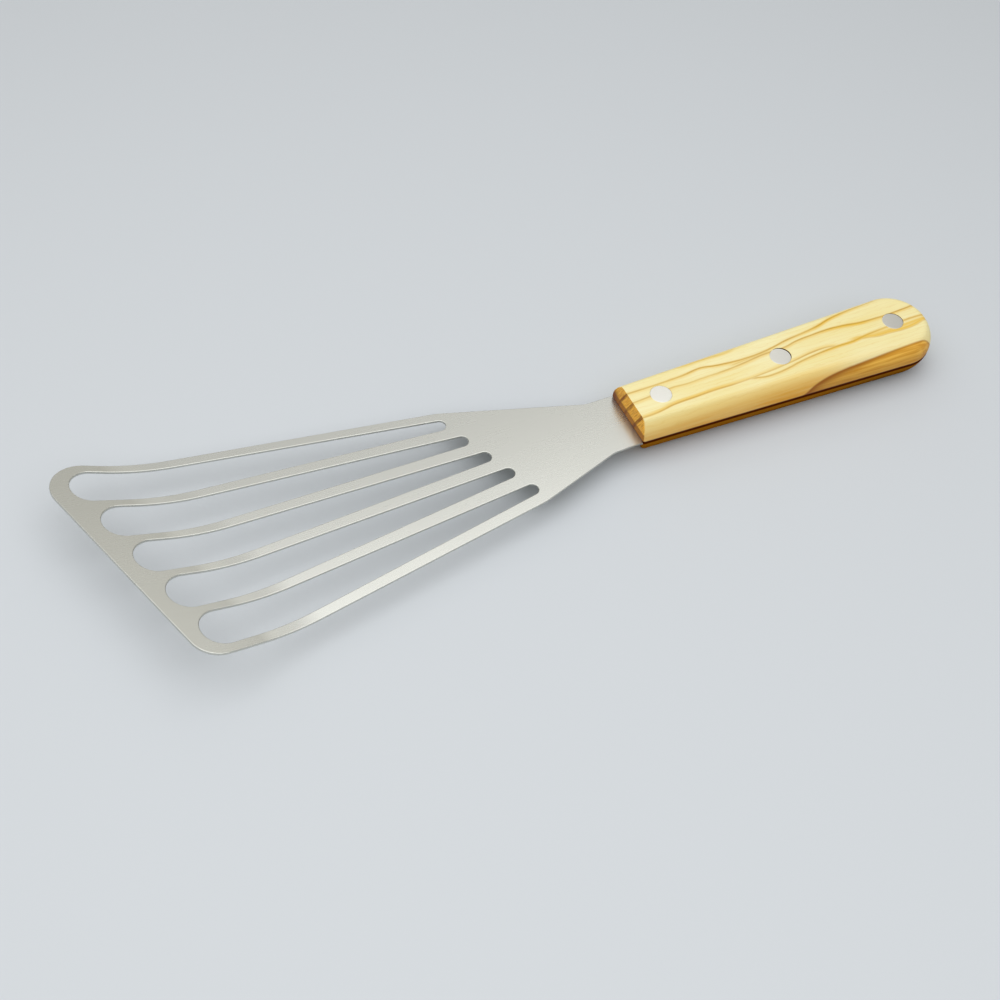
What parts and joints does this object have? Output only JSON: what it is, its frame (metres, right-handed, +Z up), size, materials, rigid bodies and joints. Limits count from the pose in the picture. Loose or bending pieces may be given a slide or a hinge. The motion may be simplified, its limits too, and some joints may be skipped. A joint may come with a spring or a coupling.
{
  "type": "slotted flexible turner",
  "caption": "Flexible kitchen turner: a thin fan-shaped slotted steel blade with a slanted, upturned tip and a full tang riveted between olive-wood handle scales.",
  "frame": {"origin": "middle of the whole tool in plan, at the level of the lower scale's flat underside, on which the tool lies", "axes": "+X from the blade's tip to the handle's butt, +Y across the tool to the side where the slanted tip reaches furthest, +Z up, the way the tip bends"},
  "size_m": [0.291, 0.0804, 0.0175],
  "materials": {
    "blade_steel": "satin",
    "olive_wood": "oiled, smooth",
    "rivet_metal": "polished flush"
  },
  "bodies": {
    "root": {"blade": "blade_steel", "upper_scale": "olive_wood", "lower_scale": "olive_wood", "front_rivet_tube": "rivet_metal", "front_rivet_post": "rivet_metal", "middle_rivet_tube": "rivet_metal", "middle_rivet_post": "rivet_metal", "rear_rivet_tube": "rivet_metal", "rear_rivet_post": "rivet_metal"}
  },
  "joints": []
}
